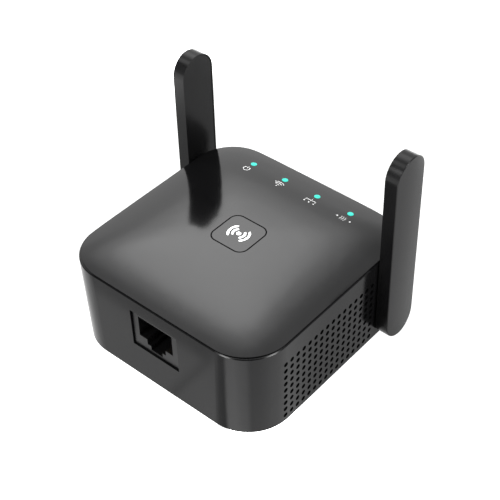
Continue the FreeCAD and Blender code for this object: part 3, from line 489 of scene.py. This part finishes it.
def shrink_sleeve(name):
    """Dark blue sleeve shrunk over an aluminium can."""
    finish = Finish(name)
    finish.set(base=shades(finish, SLEEVE_BLUE, grain=4.0, amount=0.15),
               roughness=finish.spread(finish.noise(3.0), 0.22, 0.36), coat=0.3)
    finish.relief(finish.noise(1.8, detail=2.0), height=0.02, strength=0.4)
    return finish.material


def ceramic(name):
    """Glazed white ceramic."""
    finish = Finish(name)
    finish.set(base=shades(finish, GLAZE_WHITE, grain=1.0, amount=0.05),
               roughness=finish.spread(finish.noise(0.9), 0.25, 0.40))
    finish.relief(finish.noise(0.5, detail=2.0), height=0.004, strength=0.5)
    return finish.material


def film(name):
    """Milky polyester sheet, slightly wavy."""
    finish = Finish(name)
    finish.set(base=shades(finish, FILM_CREAM, grain=8.0, amount=0.06),
               roughness=finish.spread(finish.noise(6.0), 0.25, 0.40), transmission=0.25)
    finish.relief(finish.noise(9.0, detail=1.0), height=0.15, strength=0.5)
    return finish.material


def nylon(name):
    """Natural nylon, a little translucent."""
    finish = Finish(name)
    finish.set(base=shades(finish, NYLON_CREAM, grain=1.0, amount=0.06),
               roughness=finish.spread(finish.noise(0.8), 0.35, 0.5), subsurface=0.1)
    finish.relief(finish.noise(0.2, detail=2.0), height=0.003, strength=0.5)
    return finish.material


def led_resin(name):
    """White package filled with clear resin, lit by its chip."""
    finish = Finish(name)
    finish.set(base=shades(finish, LED_RESIN, grain=0.5, amount=0.08),
               roughness=finish.spread(finish.noise(0.3), 0.1, 0.25),
               emission=LED_LIGHT, emission_strength=0.8)
    finish.relief(finish.noise(0.3, detail=1.0), height=0.003, strength=0.4)
    return finish.material


def cable_jacket(name):
    """Extruded jacket with a faintly uneven skin and a soft rubbery sheen."""
    finish = Finish(name)
    finish.set(base=shades(finish, RUBBER, grain=2.0, amount=0.2),
               roughness=finish.spread(finish.noise(1.0), 0.42, 0.58), sheen=0.1)
    finish.relief(finish.noise(0.3, detail=3.0), height=0.006, strength=0.5)
    return finish.material


def make_materials():
    """One finish for each material slot of the record, and the two printing inks."""
    polished = {"roughness": 0.11, "specular": 0.25, "height": 0.0002, "drift": 0.015}
    return {
        "housing_black": moulded("housing_black", BLACK, roughness=0.15, specular=0.056),
        "cover_black": moulded("cover_black", BLACK, **polished),
        "button_black": moulded("button_black", BLACK, **polished),
        "antenna_black": moulded("antenna_black", BLACK, roughness=0.23, specular=0.095),
        "light_guide_turquoise": lit_acrylic("light_guide_turquoise"),
        "moulded_black": moulded("moulded_black", BLACK, roughness=0.30, specular=0.10,
                                 grain=0.18, height=0.0010),
        "contact_gold": metal("contact_gold", BRASS, roughness=0.22),
        "board_green": circuit_board("board_green"),
        "package_black": package("package_black"),
        "pressed_steel": metal("pressed_steel", STEEL, roughness=0.30, brushed="X"),
        "switch_body": moulded("switch_body", CHARCOAL, roughness=0.5, specular=0.4,
                               height=0.002),
        "plunger_plastic": nylon("plunger_plastic"),
        "led_package": led_resin("led_package"),
        "ferrite": pressed_ferrite("ferrite"),
        "coil_tape": wound_tape("coil_tape"),
        "capacitor_sleeve": shrink_sleeve("capacitor_sleeve"),
        "fuse_ceramic": ceramic("fuse_ceramic"),
        "insulation_film": film("insulation_film"),
        "plated_brass": metal("plated_brass", NICKEL, roughness=0.24, brushed="Y"),
        "screw_steel": metal("screw_steel", ZINC, roughness=0.34),
        "coax_jacket": cable_jacket("coax_jacket"),
        "print_white": ink("print_white", PRINT_WHITE),
        "label_grey": ink("label_grey", LABEL_GREY),
    }


def dress_nodes(materials):
    """Give every CAD node the finish of its slot and smooth its round stretches."""
    for item in NODES.values():
        slot = item.data.materials[0].name.split(".")[0]
        item.data.materials[0] = materials[slot]
        item.data.shade_smooth()
        item.data.set_sharp_from_angle(angle=math.radians(SMOOTH_ANGLE))


# ------------------------------------------------------------------------- the prints
# Drawings are in millimetres, in the frame's X and Y, round the centre of their sign.

def crown(x, y):
    """Height of the cover's outer face, in millimetres."""
    reach = abs(x / CROWN_HALF) ** CROWN_POWER + abs(y / CROWN_HALF) ** CROWN_POWER
    return CROWN_TOP - CROWN_RISE * reach ** (CROWN_FALL / CROWN_POWER)


def arc(centre, radius, start, end):
    """Points along an arc, angles in degrees from +X."""
    count = max(ARC_PIECES, int(abs(end - start) / ARC_STEP))
    angles = [math.radians(start + (end - start) * k / count) for k in range(count + 1)]
    return [(centre[0] + radius * math.cos(a), centre[1] + radius * math.sin(a))
            for a in angles]


def ribbon(points, width):
    """Left and right edges of a stroke along the points, and its two round ends."""
    half = width / 2
    path = [Vector(point) for point in points]
    lefts, rights = [], []
    for k, point in enumerate(path):
        ahead = (path[min(k + 1, len(path) - 1)] - path[max(k - 1, 0)]).normalized()
        side = Vector((-ahead.y, ahead.x)) * half
        lefts.append(point + side)
        rights.append(point - side)
    caps = []
    for tip, inner in ((path[0], path[1]), (path[-1], path[-2])):
        out = (tip - inner).normalized()
        side = Vector((-out.y, out.x))
        caps.append([tip + (side * math.cos(a) + out * math.sin(a)) * half
                     for a in (math.pi * k / CAP_STEPS for k in range(1, CAP_STEPS))])
    return lefts, rights, caps


class Print:
    """Raised ink on the crown, built from strokes and dots as closed thin solids that
    stand LIFT above the cover's face and reach SINK below it."""

    LIFT = 0.045
    SINK = 0.03

    def __init__(self, name, body, centre=(0.0, 0.0), scale=1.0):
        self.name = name
        self.body = body
        self.centre = centre
        self.scale = scale
        self.mesh = bmesh.new()

    def corner(self, point, lift):
        """A vertex over a point of the drawing, lifted off the crown."""
        x = self.centre[0] + self.scale * point[0]
        y = self.centre[1] + self.scale * point[1]
        return self.mesh.verts.new(Vector((x, y, crown(x, y) + lift)) * MM)

    def solid(self, outline, strips):
        """A closed slab: strips are the top's faces as indexes into the outline."""
        tops = [self.corner(point, self.LIFT) for point in outline]
        feet = [self.corner(point, -self.SINK) for point in outline]
        for strip in strips:
            self.mesh.faces.new([tops[k] for k in strip])
            self.mesh.faces.new([feet[k] for k in reversed(strip)])
        count = len(outline)
        for k in range(count):
            after = (k + 1) % count
            self.mesh.faces.new([tops[after], tops[k], feet[k], feet[after]])

    def stroke(self, points, width):
        """A line through the points with round ends. Its outline runs out along the right
        edge, round the end, back along the left edge and round the start."""
        lefts, rights, (start_cap, end_cap) = ribbon(points, width)
        outline = [*rights, *end_cap, *reversed(lefts), *start_cap]
        right_last = len(rights) - 1
        left_first = len(rights) + len(end_cap)
        left_last = left_first + len(lefts) - 1
        strips = [(k, k + 1, left_last - k - 1, left_last - k) for k in range(right_last)]
        strips.append(tuple(range(right_last, left_first + 1)))
        strips.append((*range(left_last, len(outline)), 0))
        self.solid(outline, strips)

    def dot(self, centre, radius, sides=20):
        """A filled round spot."""
        turn = 2 * math.pi / sides
        outline = [(centre[0] + radius * math.cos(turn * k),
                    centre[1] + radius * math.sin(turn * k)) for k in range(sides)]
        self.solid(outline, [tuple(range(sides))])

    def make(self, material):
        """Turn the drawing into a piece that rides on its body."""
        bmesh.ops.recalc_face_normals(self.mesh, faces=self.mesh.faces)
        data = bpy.data.meshes.new(self.name)
        self.mesh.to_mesh(data)
        self.mesh.free()
        data.materials.append(material)
        piece = bpy.data.objects.new(self.name, data)
        bpy.context.scene.collection.objects.link(piece)
        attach(piece, self.body)
        return piece


def make_button_print(ink_white):
    """A transmitter: a dot with two waves to each side."""
    half_wave = 44
    mark = Print("button_print", "button")
    mark.dot((0, 0), 0.68)
    for radius in (1.75, 3.05):
        for facing in (0, 180):
            mark.stroke(arc((0, 0), radius, facing - half_wave, facing + half_wave),
                        BUTTON_PEN)
    mark.make(ink_white)


def power_sign(mark):
    """A ring, open at the top, with a bar in the opening."""
    mark.stroke(arc((0, 0), 0.78, 122, 418), WIDE_PEN)
    mark.stroke([(0, 0.1), (0, 0.5), (0, 0.98)], WIDE_PEN)


def waves_sign(mark):
    """Three waves over a dot."""
    source = (0, -0.62)
    mark.dot(source, 0.14)
    for radius in (0.62, 1.18, 1.74):
        mark.stroke(arc(source, radius, 45, 135), WIDE_PEN)


def linked_sign(mark):
    """A wired network: three dots on stems under one line."""
    for x in (-1.3, 0, 1.3):
        mark.dot((x, -0.55), 0.2)
        mark.stroke([(x, -0.1), (x, 0.05), (x, 0.2)], FINE_PEN)
    mark.stroke([(-1.42, 0.42), (0, 0.42), (1.42, 0.42)], FINE_PEN)
    mark.stroke([(0, 0.66), (0, 0.8), (0, 0.95)], FINE_PEN)


def relay_sign(mark):
    """Two dots with three waves on their way from one to the other."""
    for x in (-1.75, 1.75):
        mark.dot((x, 0), 0.22)
    for x in (-1.5, -0.95, -0.4):
        mark.stroke(arc((x, 0), 0.85, -42, 42), FINE_PEN)


def make_light_labels(ink_grey):
    """A small sign in front of each status light."""
    signs = (power_sign, waves_sign, linked_sign, relay_sign)
    for k, sign in enumerate(signs):
        x = (k - (len(signs) - 1) / 2) * LIGHT_PITCH
        name = sign.__name__.replace("_sign", "_label")
        mark = Print(name, "housing", (x, LIGHT_ROW - LABEL_DROP), LABEL_SCALE)
        sign(mark)
        mark.make(ink_grey)


# ------------------------------------------------------------------------------- main

make_camera()
make_world()
make_floor()
materials = make_materials()
dress_nodes(materials)
make_button_print(materials["print_white"])
make_light_labels(materials["label_grey"])
bpy.context.scene.view_settings.view_transform = "Standard"
